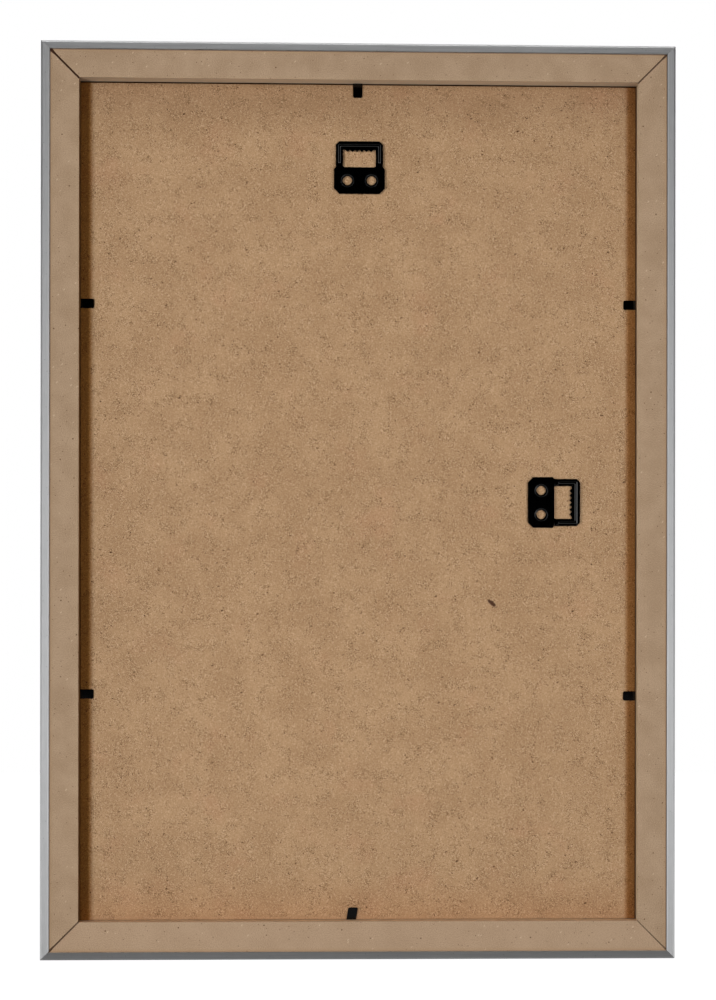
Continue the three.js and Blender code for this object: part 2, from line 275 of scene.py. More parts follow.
def object_place(tree):
    return add(tree, "ShaderNodeTexCoord").outputs["Object"]


def stretched(tree, place, stretch, turn=0.0):
    """The place turned about Y and stretched, so that a pattern on it lies along one direction."""
    turned = add(tree, "ShaderNodeMapping", {"Vector": place, "Rotation": (0.0, turn, 0.0)})
    factors = tuple(1 / share for share in stretch)
    return add(tree, "ShaderNodeMapping", {"Vector": turned.outputs[0], "Scale": factors}).outputs[0]


def noise(tree, place, size, detail=2.0, roughness=0.5):
    """Noise from 0 to 1, about size across."""
    inputs = {"Vector": place, "Scale": 1 / size, "Detail": detail, "Roughness": roughness}
    return add(tree, "ShaderNodeTexNoise", inputs).outputs[0]


def times(tree, *values):
    product = values[0]
    for value in values[1:]:
        product = math_node(tree, "MULTIPLY", product, value)
    return product


def specks(tree, place, spacing, radius, edge=0.35):
    """Up to 1 inside scattered specks of about that radius, some fainter, 0 between them."""
    cells = add(tree, "ShaderNodeTexVoronoi", {"Vector": place, "Scale": 1 / spacing})
    share = radius / spacing
    spots = ramp(tree, cells.outputs["Distance"], share * (1 - edge), share * (1 + edge), 1.0, 0.0)
    return times(tree, spots, ramp(tree, cells.outputs["Color"], 0.38, 0.68))


def hairs(tree, place, size, width):
    """1 along short curling hairs, cut from the lines where a noise passes its middle."""
    away = math_node(tree, "ABSOLUTE", math_node(tree, "SUBTRACT", noise(tree, place, size, 1.0), 0.5))
    shifted = add(tree, "ShaderNodeVectorMath", {0: place, 1: (0.31, 0.17, 0.23)}, operation="ADD")
    pieces = ramp(tree, noise(tree, shifted.outputs[0], 1.4 * size, 1.0), 0.55, 0.62)
    return times(tree, ramp(tree, away, 0.5 * width, width, 1.0, 0.0), pieces)


def new_material(name):
    """A material with only a Principled shader, and that shader."""
    material = bpy.data.materials.new(name)
    material.use_nodes = True
    return material, material.node_tree, material.node_tree.nodes["Principled BSDF"]


def bump(tree, shader, height, distance):
    made = add(tree, "ShaderNodeBump", {"Height": height, "Distance": distance, "Strength": 1.0})
    tree.links.new(made.outputs[0], shader.inputs["Normal"])


# Materials


def mdf_material():
    """Raw MDF: even fine fibre, sparse specks, and dark lines along the mitres and the foil's edge. The
    mitre lines are widened with painted shade, the rebate walls carry painted light and shade, and the
    bottom rail is painted lighter.
    """
    material, tree, shader = new_material("mdf_face")
    place = object_place(tree)
    split = add(tree, "ShaderNodeSeparateXYZ", {0: place})
    depth = split.outputs[1]
    along_x = math_node(tree, "SUBTRACT", math_node(tree, "ABSOLUTE", split.outputs[0]), HALF_OPEN_X)
    from_middle = math_node(tree, "SUBTRACT", split.outputs[2], MIDDLE_Z)
    along_z = math_node(tree, "SUBTRACT", math_node(tree, "ABSOLUTE", from_middle), HALF_OPEN_Z)
    outwards = math_node(tree, "MAXIMUM", along_x, along_z)
    from_mitre = math_node(tree, "ABSOLUTE", math_node(tree, "SUBTRACT", along_x, along_z))
    at_end = ramp(tree, math_node(tree, "SUBTRACT", along_z, along_x), -0.2 * MM, 0.2 * MM)
    at_top = times(tree, at_end, ramp(tree, from_middle, 0.5 * HALF_OPEN_Z, 0.9 * HALF_OPEN_Z))
    at_foot = times(tree, at_end, ramp(tree, from_middle, -0.5 * HALF_OPEN_Z, -0.9 * HALF_OPEN_Z))

    fibre = noise(tree, place, 0.55 * MM, 2.0, 0.6)
    tone = noise(tree, place, 14 * MM, 3.0)
    colour = mix(tree, ramp(tree, tone, 0.3, 0.7), srgb(165, 138, 110), srgb(177, 150, 122))
    # Painted light: the bottom rail's face is painted lighter than the other bars.
    colour = mix(tree, times(tree, at_foot, 0.5), colour, srgb(181, 152, 124))
    colour = mix(tree, ramp(tree, fibre, 0.5, 0.2, 0.0, 0.8), colour, srgb(132, 104, 78))
    colour = mix(tree, ramp(tree, fibre, 0.5, 0.8, 0.0, 0.8), colour, srgb(200, 174, 146))
    pale = specks(tree, stretched(tree, place, (1, 1, 2.2), 0.7), 2.9 * MM, 0.3 * MM)
    colour = mix(tree, times(tree, pale, 0.8), colour, srgb(204, 180, 153))
    for spacing, radius, strength in ((2.6 * MM, 0.3 * MM, 0.7), (6.5 * MM, 0.42 * MM, 0.9)):
        dark = specks(tree, place, spacing, radius)
        colour = mix(tree, times(tree, dark, strength), colour, srgb(98, 70, 46))

    rough_edge = times(tree, math_node(tree, "SUBTRACT", fibre, 0.5), 0.5 * MM)
    outer = math_node(tree, "ADD", outwards, rough_edge)
    to_left = ramp(tree, split.outputs[0], -0.5 * HALF_OPEN_X, 0.5 * HALF_OPEN_X)
    side_lap = ramp(tree, to_left, 0.0, 1.0, FOIL_LAP["right_stile"], FOIL_LAP["left_stile"])
    end_lap = ramp(tree, at_top, 0.0, 1.0, FOIL_LAP["bottom_rail"], FOIL_LAP["top_rail"])
    lap = ramp(tree, at_end, 0.0, 1.0, side_lap, end_lap)
    past_face = math_node(tree, "ADD", math_node(tree, "SUBTRACT", outer, CORE_FACE), lap)
    rim = ramp(tree, past_face, -2.2 * MM, -0.7 * MM, 0.0, 0.45)
    colour = mix(tree, rim, colour, srgb(172, 138, 104))
    # A dark line on the MDF along the foil's edge, fainter on the bottom rail.
    foil_edge_line_strength = math_node(tree, "MULTIPLY_ADD", at_top, 0.05, 0.6)
    foil_edge_line_strength = math_node(tree, "MULTIPLY_ADD", at_foot, -0.35, foil_edge_line_strength)
    foil_edge_line = times(tree, ramp(tree, past_face, -0.62 * MM, -0.46 * MM), foil_edge_line_strength)
    colour = mix(tree, foil_edge_line, colour, srgb(92, 80, 72))

    # Dark lines along the mitres: a dark joint widened with painted shade, strongest towards the top left
    # corner.
    across = times(tree, split.outputs[0], 1 / HALF_OPEN_X)
    upwards = times(tree, from_middle, 1 / HALF_OPEN_Z)
    corner = math_node(tree, "ADD", across, upwards)
    reach = ramp(tree, corner, -1.5, 1.9, 0.55 * MM, 0.9 * MM)
    reach = times(tree, reach, ramp(tree, past_face, -3 * MM, -0.6 * MM, 1.0, 1.5))
    mitre_line_mask = ramp(tree, math_node(tree, "DIVIDE", from_mitre, reach), 0.65, 1.0, 1.0, 0.0)
    patchy = ramp(tree, noise(tree, place, 5 * MM), 0.35, 0.6, 0.85, 1.0)
    faint = times(tree, patchy, ramp(tree, outwards, 2 * MM, 14 * MM, 0.65, 0.82))
    mitre_line_and_shade = times(tree, mitre_line_mask, ramp(tree, corner, -2.0, 1.7, faint, 1.0))
    colour = mix(tree, mitre_line_and_shade, colour, srgb(52, 25, 5))

    # Painted light and shade on the rebate walls: the left wall dark as in shade, the right wall light
    # above and dark lower down, the end walls light, and dark below the board's face.
    right_wall_painted_light_and_shade = mix(tree, ramp(tree, depth, -3.4 * MM, -4.6 * MM), srgb(198, 176, 146), srgb(98, 74, 50))
    side_walls_painted_light_and_shade = mix(tree, to_left, right_wall_painted_light_and_shade, srgb(116, 78, 34))
    end_walls_painted_light_and_shade = mix(tree, at_foot, srgb(228, 206, 179), srgb(240, 208, 172))
    end_walls_painted_light_and_shade = mix(tree, ramp(tree, depth, -7.3 * MM, -7.8 * MM), end_walls_painted_light_and_shade, srgb(74, 46, 22))
    wall = mix(tree, at_end, side_walls_painted_light_and_shade, end_walls_painted_light_and_shade)
    colour = mix(tree, ramp(tree, depth, -0.25 * MM, -0.5 * MM), colour, wall)

    tree.links.new(colour, shader.inputs["Base Color"])
    tree.links.new(ramp(tree, fibre, 0.2, 0.8, 0.75, 0.95), shader.inputs["Roughness"])
    shader.inputs["Specular IOR Level"].default_value = 0.25
    bump(tree, shader, fibre, 0.06 * MM)
    return material


def bark(tree, place, ragged):
    """1 within one slanting fleck of bark in the board."""
    centred = add(tree, "ShaderNodeMapping", {"Vector": place, "Location": (-BARK_X, 0.0, -BARK_Z)})
    inputs = {"Vector": centred.outputs[0], "Rotation": (0.0, BARK_TURN, 0.0)}
    turned = add(tree, "ShaderNodeMapping", inputs)
    inputs = {"Vector": turned.outputs[0], "Scale": (1 / BARK_LENGTH, 0.0, 1 / BARK_WIDTH)}
    flat = add(tree, "ShaderNodeMapping", inputs)
    away = add(tree, "ShaderNodeVectorMath", {0: flat.outputs[0]}, operation="LENGTH").outputs["Value"]
    edge = math_node(tree, "MULTIPLY_ADD", ragged, 0.6, away)
    return ramp(tree, edge, 0.65, 1.0, 0.95, 0.0)


def board_material():
    """Pressed fibre board: mottled brown with clumps of dark specks, pale flecks and one fleck of bark.

    While it lies between the stiles, painted warm shade darkens its two sides next to their walls. Painted
    shade also darkens it towards its top and foot, with a painted lighter strip along the foot.
    """
    material, tree, shader = new_material("fibre_board")
    place = object_place(tree)
    clump = noise(tree, place, 7 * MM, 3.0, 0.6)
    tone = noise(tree, place, 18 * MM, 2.0)
    grain = noise(tree, place, 0.9 * MM, 2.0, 0.7)
    dust = noise(tree, place, 0.45 * MM, 1.0)
    crowd = ramp(tree, clump, 0.36, 0.6, 1.0, 0.12)

    colour = mix(tree, ramp(tree, tone, 0.3, 0.7), srgb(165, 130, 94), srgb(176, 141, 104))
    red = ramp(tree, noise(tree, place, 24 * MM, 3.0), 0.55, 0.75, 0.0, 0.35)
    colour = mix(tree, red, colour, srgb(176, 130, 96))
    colour = mix(tree, ramp(tree, clump, 0.5, 0.28, 0.0, 0.4), colour, srgb(142, 109, 73))
    busy = math_node(tree, "MULTIPLY_ADD", crowd, 0.7, 0.3)
    dark_dust = times(tree, ramp(tree, dust, 0.5, 0.2, 0.0, 0.95), busy)
    colour = mix(tree, dark_dust, colour, srgb(104, 73, 42))
    pale_dust = times(tree, ramp(tree, dust, 0.5, 0.8, 0.0, 0.75), busy)
    colour = mix(tree, pale_dust, colour, srgb(224, 192, 156))
    colour = mix(tree, ramp(tree, grain, 0.54, 0.8, 0.0, 0.35), colour, srgb(198, 165, 130))

    fibres = hairs(tree, place, 0.8 * MM, 0.1)
    colour = mix(tree, times(tree, fibres, crowd, 0.6), colour, srgb(104, 70, 36))
    bright = hairs(tree, stretched(tree, place, (1, 1, 1), 1.9), 0.9 * MM, 0.09)
    colour = mix(tree, times(tree, bright, 0.4), colour, srgb(214, 182, 146))
    for spacing, radius, turn, strength in (
        (1.7 * MM, 0.22 * MM, 0.4, 1.0),
        (2.4 * MM, 0.28 * MM, 2.2, 1.0),
        (7.2 * MM, 0.42 * MM, 1.2, 1.0),
    ):
        dots = specks(tree, stretched(tree, place, (1, 1, 1.8), turn), spacing, radius)
        colour = mix(tree, times(tree, dots, busy, strength), colour, srgb(82, 46, 14))
    pale = specks(tree, stretched(tree, place, (2.2, 1, 1), 0.9), 3.4 * MM, 0.3 * MM)
    colour = mix(tree, times(tree, pale, 0.45), colour, srgb(212, 180, 146))
    colour = mix(tree, bark(tree, place, grain), colour, srgb(60, 26, 4))

    split = add(tree, "ShaderNodeSeparateXYZ", {0: place})
    to_top = math_node(tree, "SUBTRACT", MIDDLE_Z + HALF_OPEN_Z, split.outputs[2])
    to_foot = math_node(tree, "SUBTRACT", split.outputs[2], MIDDLE_Z - HALF_OPEN_Z)
    # Painted shade: the board is darker towards its top and its foot, and a painted lighter strip runs
    # along its foot.
    top_painted_shade = ramp(tree, to_top, 0.0, 34 * MM, 0.25, 0.0)
    colour = mix(tree, top_painted_shade, colour, srgb(120, 74, 34), "MULTIPLY")
    foot_painted_shade = ramp(tree, to_foot, 0.0, 30 * MM, 0.25, 0.0)
    colour = mix(tree, foot_painted_shade, colour, srgb(236, 194, 158), "MULTIPLY")
    colour = mix(tree, ramp(tree, to_foot, 0.0, 3 * MM, 0.36, 0.0), colour, srgb(220, 176, 134))

    ragged = times(tree, math_node(tree, "SUBTRACT", grain, 0.5), 1.2 * MM)
    past_left = math_node(tree, "SUBTRACT", split.outputs[0], HALF_OPEN_X)
    to_left = math_node(tree, "SUBTRACT", ragged, past_left)
    from_right = math_node(tree, "ADD", split.outputs[0], HALF_OPEN_X)
    to_right = math_node(tree, "ADD", ragged, from_right)
    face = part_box("back_panel")[1].y
    on_face = ramp(tree, split.outputs[1], face - 0.2 * MM, face - 0.05 * MM)
    position = add(tree, "ShaderNodeNewGeometry").outputs["Position"]
    height = add(tree, "ShaderNodeSeparateXYZ", {0: position}).outputs[1]
    # Painted shade: warm dark bands along both sides next to the stile walls, tinted as light bounced off
    # the walls would tint their shadow, fading as the board lifts out.
    sunk = times(tree, on_face, ramp(tree, height, face + 0.5 * MM, face + 6 * MM, 1.0, 0.0))
    left_painted_shade = times(tree, sunk, ramp(tree, to_left, 4.2 * MM, 7.4 * MM, 0.85, 0.0))
    colour = mix(tree, left_painted_shade, colour, srgb(255, 206, 95), "MULTIPLY")
    right_painted_shade = times(tree, sunk, ramp(tree, to_right, 3.5 * MM, 6.6 * MM, 0.9, 0.0))
    colour = mix(tree, right_painted_shade, colour, srgb(255, 214, 150), "MULTIPLY")

    tree.links.new(colour, shader.inputs["Base Color"])
    tree.links.new(ramp(tree, grain, 0.2, 0.8, 0.6, 0.8), shader.inputs["Roughness"])
    shader.inputs["Specular IOR Level"].default_value = 0.25
    bump(tree, shader, grain, 0.05 * MM)
    return material


def foil_material(name, stretch, rim):
    """Matt silver foil with a fine grain along the moulding. rim is how strong a painted highlight along
    its edge at the back is.
    """
    material, tree, shader = new_material(name)
    place = object_place(tree)
    streaks = noise(tree, stretched(tree, place, stretch), 0.5 * MM, 3.0, 0.6)
    cloud = noise(tree, place, 9 * MM, 3.0)
    colour = mix(tree, ramp(tree, streaks, 0.25, 0.75), srgb(200, 200, 201), srgb(218, 218, 219))
    colour = mix(tree, ramp(tree, cloud, 0.3, 0.7, 0.0, 0.5), colour, srgb(202, 203, 203))
    worn = specks(tree, stretched(tree, place, (1, 1, 1)), 3.1 * MM, 0.35 * MM)
    colour = mix(tree, times(tree, worn, 0.35), colour, srgb(150, 152, 152))
    depth = add(tree, "ShaderNodeSeparateXYZ", {0: place}).outputs[1]
    # Painted highlight along the foil's edge at the back face.
    colour = mix(tree, ramp(tree, depth, -0.28 * MM, -0.18 * MM, 0.0, rim), colour, srgb(236, 236, 237))
    tree.links.new(colour, shader.inputs["Base Color"])
    tree.links.new(ramp(tree, streaks, 0.2, 0.8, 0.36, 0.46), shader.inputs["Roughness"])
    shader.inputs["Metallic"].default_value = 0.9
    shader.inputs["Specular IOR Level"].default_value = 0.3
    bump(tree, shader, streaks, 0.01 * MM)
    return material


def lacquer_material():
    """Black stove-enamelled steel, glossy, with a faint ripple, and burnished where the press raised it."""
    material, tree, shader = new_material("black_lacquer")
    place = object_place(tree)
    raised = add(tree, "ShaderNodeAttribute", attribute_name="raised").outputs["Fac"]
    ripple = noise(tree, place, 1.6 * MM, 2.0)
    cloud = noise(tree, place, 6 * MM, 3.0)
    colour = mix(tree, ramp(tree, cloud, 0.3, 0.7), srgb(0, 0, 0), srgb(3, 2, 2))
    tree.links.new(colour, shader.inputs["Base Color"])
    tree.links.new(ramp(tree, cloud, 0.3, 0.7, 0.15, 0.2), shader.inputs["Roughness"])
    shader.inputs["Specular IOR Level"].default_value = 0.5
    tree.links.new(ramp(tree, raised, 0.0, 0.02 * MM), shader.inputs["Coat Weight"])
    shader.inputs["Coat Roughness"].default_value = 0.1
    shader.inputs["Coat IOR"].default_value = 1.7
    bump(tree, shader, ripple, 0.003 * MM)
    return material


def card_material():
    """Uncoated off-white card with a faint fibre."""
    material, tree, shader = new_material("insert_card")
    place = object_place(tree)
    fibre = noise(tree, stretched(tree, place, (1, 1, 3), 0.5), 0.8 * MM, 4.0, 0.7)
    cloud = noise(tree, place, 25 * MM, 3.0)
    colour = mix(tree, ramp(tree, fibre, 0.3, 0.7), srgb(232, 229, 221), srgb(240, 238, 232))
    colour = mix(tree, ramp(tree, cloud, 0.4, 0.7, 0.0, 0.3), colour, srgb(234, 230, 220))
    tree.links.new(colour, shader.inputs["Base Color"])
    tree.links.new(ramp(tree, fibre, 0.2, 0.8, 0.8, 0.95), shader.inputs["Roughness"])
    bump(tree, shader, fibre, 0.01 * MM)
    return material


def steel_material():
    """Bright corrugated nail steel with a drawn grain."""
    material, tree, shader = new_material("nail_steel")
    place = object_place(tree)
    drawn = noise(tree, stretched(tree, place, (1, 8, 1)), 0.3 * MM, 3.0)
    colour = mix(tree, ramp(tree, drawn, 0.3, 0.7), srgb(128, 130, 134), srgb(168, 170, 173))
    tree.links.new(colour, shader.inputs["Base Color"])
    tree.links.new(ramp(tree, drawn, 0.2, 0.8, 0.3, 0.5), shader.inputs["Roughness"])
    shader.inputs["Metallic"].default_value = 1.0
    return material


def glass_material():
    """Clear float glass with a faint green body, that lets lamp light through to the card."""
    material, tree, shader = new_material("clear_glass")
    place = object_place(tree)
    waver = noise(tree, place, 40 * MM, 1.0)
    colour = mix(tree, ramp(tree, waver, 0.3, 0.7), srgb(251, 253, 252), srgb(253, 254, 254))
    tree.links.new(colour, shader.inputs["Base Color"])
    shader.inputs["Roughness"].default_value = 0.0
    shader.inputs["IOR"].default_value = 1.5
    shader.inputs["Transmission Weight"].default_value = 1.0
    clear = add(tree, "ShaderNodeBsdfTransparent", {"Color": srgb(252, 254, 253)})
    shadow = add(tree, "ShaderNodeLightPath").outputs["Is Shadow Ray"]
    both = add(tree, "ShaderNodeMixShader", {0: shadow, 1: shader.outputs[0], 2: clear.outputs[0]})
    tree.links.new(both.outputs[0], tree.nodes["Material Output"].inputs["Surface"])
    return material


# Outlines


def rounded(corners, closed=True):
    """A polyline through corners of (x, y, radius), with an arc of about 12 degrees a step at each."""
    points = []
    count = len(corners)
    for i, (x, y, radius) in enumerate(corners):
        corner = Vector((x, y))
        if radius == 0 or (not closed and i in (0, count - 1)):
            points.append(corner)
            continue
        before = (Vector(corners[i - 1][:2]) - corner).normalized()
        after = (Vector(corners[(i + 1) % count][:2]) - corner).normalized()
        half = before.angle(after) / 2
        back = radius / math.tan(half)
        middle = corner + (before + after).normalized() * radius / math.sin(half)
        start = corner + before * back - middle
        sweep = math.pi - 2 * half
        turn = math.copysign(sweep, (-before).cross(after))
        steps = max(2, round(math.degrees(sweep) / 12))
        points += [middle + Matrix.Rotation(turn * k / steps, 2) @ start for k in range(steps + 1)]
    return points


def inset(loop, distance):
    """A closed loop moved to its left by distance."""
    moved = []
    for i, point in enumerate(loop):
        before = (point - loop[i - 1]).normalized()
        after = (loop[(i + 1) % len(loop)] - point).normalized()
        first, second = Vector((-before.y, before.x)), Vector((-after.y, after.x))
        moved.append(point + (first + second) * distance / (1 + first.dot(second)))
    return moved


def offset_path(path, distance):
    """An open polyline moved to its right by distance, with its ends kept square."""
    moved = []
    for i, point in enumerate(path):
        before = (point - path[max(i - 1, 0)]).normalized()
        after = (path[min(i + 1, len(path) - 1)] - point).normalized()
        first, second = Vector((before.y, -before.x)), Vector((after.y, -after.x))
        if i in (0, len(path) - 1):
            only = second if i == 0 else first
            moved.append(point + only * distance)
        else:
            moved.append(point + (first + second) * distance / (1 + first.dot(second)))
    return moved


def divided(loop, places):
    """A closed loop with extra points where it crosses z = each of the places."""
    points = []
    for i, point in enumerate(loop):
        end = loop[(i + 1) % len(loop)]
        points.append(point)
        if abs(end.y - point.y) < 0.01 * MM:
            continue
        shares = [(place - point.y) / (end.y - point.y) for place in places]
        points += [point.lerp(end, share) for share in sorted(shares) if 0.02 < share < 0.98]
    return points


def inside(point, loop):
    """True if a point lies within a closed loop."""
    crossings = 0
    for i, start in enumerate(loop):
        end = loop[(i + 1) % len(loop)]
        if (start.y > point.y) != (end.y > point.y):
            share = (point.y - start.y) / (end.y - start.y)
            crossings += start.x + share * (end.x - start.x) > point.x
    return crossings % 2 == 1


# Meshes


def new_piece(name, mesh, material, smooth_angle=math.radians(40)):
    """An object in the scene from a bmesh, with smooth shading up to an angle."""
    bmesh.ops.recalc_face_normals(mesh, faces=mesh.faces)
    data = bpy.data.meshes.new(name)
    mesh.to_mesh(data)
    mesh.free()
    data.materials.append(material)
    data.shade_smooth()
    data.set_sharp_from_angle(angle=smooth_angle)
    piece = bpy.data.objects.new(name, data)
    bpy.context.scene.collection.objects.link(piece)
    piece.modifiers.new("even_normals", "WEIGHTED_NORMAL").keep_sharp = True
    return piece


def bridge(mesh, ring, other):
    """Quads between two closed rings of as many vertices."""
    count = len(ring)
    for i in range(count):
        j = (i + 1) % count
        mesh.faces.new((ring[i], ring[j], other[j], other[i]))


def pressed_sheet(outer, holes, relief, top, thickness, edge):
    """A sheet cut to an outline in x and z with rounded edges, as a bmesh.

    relief lists closed loops with the height that the press raised them to.
    """
    borders = [outer, *holes]
    loops = [(inset(border, edge), 0.0) for border in borders] + relief
    coords, edges, heights = [], [], []
    for loop, height in loops:
        first = len(coords)
        coords += loop
        heights += [height] * len(loop)
        edges += [(first + i, first + (i + 1) % len(loop)) for i in range(len(loop))]
    found, _, faces, origins, _, _ = delaunay_2d_cdt(coords, edges, [], 1, 1e-9)

    mesh = bmesh.new()
    sides = []
    for level in (top, top - thickness):
        verts = []
        for point, origin in zip(found, origins):
            verts.append(mesh.verts.new((point.x, level + heights[origin[0]], point.y)))
        sides.append(verts)
    gaps = [loop for loop, _ in loops[1:len(borders)]]
    for face in faces:
        middle = sum((found[i] for i in face), Vector((0, 0))) / len(face)
        if any(inside(middle, gap) for gap in gaps):
            continue
        for verts in sides:
            mesh.faces.new([verts[i] for i in face])

    index_of = {origin: i for i, group in enumerate(origins) for origin in group}
    first = 0
    for border in borders:
        order = [index_of[first + i] for i in range(len(border))]
        first += len(border)
        rings = [[sides[0][i] for i in order]]
        for share, level in ((0.3, top - 0.3 * edge), (0.0, top - edge),
                             (0.0, top - thickness + edge), (0.3, top - thickness + 0.3 * edge)):
            loop = inset(border, share * edge)
            rings.append([mesh.verts.new((p.x, level, p.y)) for p in loop])
        rings.append([sides[1][i] for i in order])
        for ring, other in zip(rings, rings[1:]):
            bridge(mesh, ring, other)
    return mesh


def mitred_bar(section, half_span, to_wall, turn, chamfer):
    """A moulding of a closed section, mitred at both ends, turned to its side of the frame, as a bmesh."""
    mesh = bmesh.new()
    shrunk = inset(section, -chamfer)
    rings = []
    cuts = ((-1, shrunk, 0), (-1, section, chamfer), (1, section, chamfer), (1, shrunk, 0))
    for end, outline, back in cuts:
        rings.append([
            mesh.verts.new((end * (half_span + p.x - MITRE_SET_BACK - back), p.y, to_wall + p.x))
            for p in outline
        ])
    for ring, other in zip(rings, rings[1:]):
        bridge(mesh, ring, other)
    return mesh, rings, Matrix.Translation((0, 0, MIDDLE_Z)) @ Matrix.Rotation(turn, 4, "Y")


# Mouldings


def wrap_path(lap):
    """The foil's outer face, from its lap on the back face round to its end on the lip."""
    return rounded([
        (BACK_FACE - lap, 0, 0),
        (BACK_FACE + BEVEL_WIDTH, -BEVEL_DEPTH, FOLD_RADIUS),
        (OUTER, -BEVEL_DEPTH - EDGE_DEPTH, FOLD_RADIUS),
        (OUTER, FRONT_CHAMFER - FRAME_DEPTH, FRONT_RADIUS),
        (OUTER - FRONT_CHAMFER, -FRAME_DEPTH, FRONT_RADIUS),
        (SIGHT_CHAMFER - LIP_WIDTH, -FRAME_DEPTH, FRONT_RADIUS / 2),
        (-LIP_WIDTH, SIGHT_CHAMFER - FRAME_DEPTH, FRONT_RADIUS / 2),
        (-LIP_WIDTH, SEAT, FOIL * 1.6),
        (FOIL_RETURN - LIP_WIDTH, SEAT, 0),
    ], closed=False)


def flush(path):
    """A wrap's path with its first point slid along its bevel to the back face."""
    start, following = path[0], path[1]
    share = start.y / (start.y - following.y)
    return [start.lerp(following, share), *path[1:]]


def foil_section(lap):
    """The foil's closed section, its outer face and back along its inner one."""
    path = wrap_path(lap)
    return path + flush(offset_path(path, FOIL))[::-1]


def core_section(lap, wall_back):
    """The MDF inside the wrap, its arris at the rebate wall a little rounded."""
    wrapped = flush(offset_path(wrap_path(lap), FOIL + FOIL_GLUE))
    wall = rounded([
        (wall_back, SEAT - FOIL - FOIL_GLUE, 0),
        (wall_back, 0, CORE_RADIUS),
        (BACK_FACE, 0, 0),
    ], closed=False)
    return wrapped + wall[:-1]


def close_ends(mesh, rings, strip):
    """Faces over a bar's two ends: one outline, or a strip between its two edges."""
    for ring in (rings[0], rings[-1]):
        if not strip:
            mesh.faces.new(ring)
            continue
        count = len(ring) // 2
        for i in range(count - 1):
            mesh.faces.new((ring[i], ring[i + 1], ring[-2 - i], ring[-1 - i]))


def mouldings(mdf, foils):
    """The four bars, each a core and its foil. Gives the foil pieces."""
    wraps = []
    for name, turn, half_span, to_wall in BARS:
        lap = FOIL_LAP[name]
        wall_back = TOP_WALL_BACK if name == "top_rail" else 0.0
        section = core_section(lap, wall_back)
        core, rings, place = mitred_bar(section, half_span, to_wall, turn, MITRE_CHAMFER)
        close_ends(core, rings, strip=False)
        wrap, wrap_rings, _ = mitred_bar(foil_section(lap), half_span, to_wall, turn, 0.0)
        close_ends(wrap, wrap_rings, strip=True)
        foil = foils["rail" if name.endswith("rail") else "stile"]
        pieces = ((core, name, mdf, "mdf"), (wrap, name + "_foil", foil, "silver_foil"))
        for mesh, node, look, slot in pieces:
            mesh.transform(place)
            bmesh.ops.remove_doubles(mesh, verts=mesh.verts, dist=1e-7)
            piece = new_piece(node + "_face", mesh, look, FOLD_SMOOTHING)
            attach(piece, "frame")
            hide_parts(node)
        wraps.append(piece)
    return wraps


# Hangers and tabs


def seat(mesh, joint):
    """Moves a mesh from its own x and z, with z = 0 on the joint's axis, to its place on the frame."""
    across = UP.cross(Vector(joint["axis"]))
    side = UP.cross(across)
    turn = Matrix((side, UP, across)).transposed().to_4x4()
    pivot = Vector(joint["pos_m"])
    mesh.transform(Matrix.Translation((pivot.x, 0, pivot.z)) @ turn)
    return across


def bead_loops():
    """Loops round the bead of a bail, an upturned U, with the height of each."""
    middle = (BAIL_HALF + WINDOW_HALF) / 2
    bar = BAIL_BAR / 2
    foot = NECK - WINDOW_HEIGHT
    out, near = middle + BEAD_HALF, middle - BEAD_HALF
    tip = 0.9 * BEAD_HALF
    outline = rounded([
        (out, foot, tip),
        (out, bar + BEAD_HALF, 0.8 * BEAD_HALF),
        (-out, bar + BEAD_HALF, 0.8 * BEAD_HALF),
        (-out, foot, tip),
        (-near, foot, tip),
        (-near, bar - BEAD_HALF, BEAD_HALF / 2),
        (near, bar - BEAD_HALF, BEAD_HALF / 2),
        (near, foot, tip),
    ])
    return [(inset(outline, into * MM), height * MM) for into, height in BEAD_PROFILE]


def ring_loops(x, z):
    """Loops of the low ridge round a hole, with the height of each."""
    loops = []
    for share in [k / 4 for k in range(-4, 5)]:
        radius = RING_RADIUS + share * RING_HALF_WIDTH
        turns = [2 * math.pi * k / 48 for k in range(48)]
        points = [Vector((x + radius * math.cos(t), z + radius * math.sin(t))) for t in turns]
        loops.append((points, RING_HEIGHT * (1 - share * share)))
    return loops


def hanger_edge():
    """The hanger's outer edge, anticlockwise."""
    plate_top = -WINDOW_HEIGHT
    plate_bottom = plate_top - PLATE_HEIGHT
    shoulder = PLATE_HALF - BAIL_HALF
    right = [
        (PLATE_HALF - PLATE_CHAMFER, plate_bottom, PLATE_RADIUS),
        (PLATE_HALF, plate_bottom + PLATE_CHAMFER, PLATE_RADIUS),
        (PLATE_HALF, plate_top - shoulder, SHOULDER_RADIUS),
        (BAIL_HALF, plate_top, SHOULDER_RADIUS),
        (BAIL_HALF, BAIL_BAR - BAIL_CHAMFER, BAIL_RADIUS),
        (BAIL_HALF - BAIL_CHAMFER, BAIL_BAR, BAIL_RADIUS),
    ]
    return rounded(right + [(-x, z, radius) for x, z, radius in reversed(right)])


def window_edge():
    """The toothed window, clockwise."""
    teeth = []
    for i in range(TEETH):
        start = (i - TEETH / 2) * TOOTH_PITCH
        teeth += [(start, 0, TOOTH_RADIUS), (start + TOOTH_PITCH / 2, -TOOTH_DEPTH, TOOTH_RADIUS)]
    teeth.append((TEETH / 2 * TOOTH_PITCH, 0, TOOTH_RADIUS))
    return rounded([
        (-WINDOW_HALF, -WINDOW_HEIGHT, WINDOW_RADIUS),
        (-WINDOW_HALF, 0, WINDOW_TOP_RADIUS),
        *teeth,
        (WINDOW_HALF, 0, WINDOW_TOP_RADIUS),
        (WINDOW_HALF, -WINDOW_HEIGHT, WINDOW_RADIUS),
    ])


def diamond_edge(x, z):
    """A diamond hole, clockwise."""
    corners = [(0, HOLE_REACH), (HOLE_REACH, 0), (0, -HOLE_REACH), (-HOLE_REACH, 0)]
    return rounded([(x + dx, z + dz, HOLE_RADIUS) for dx, dz in corners])


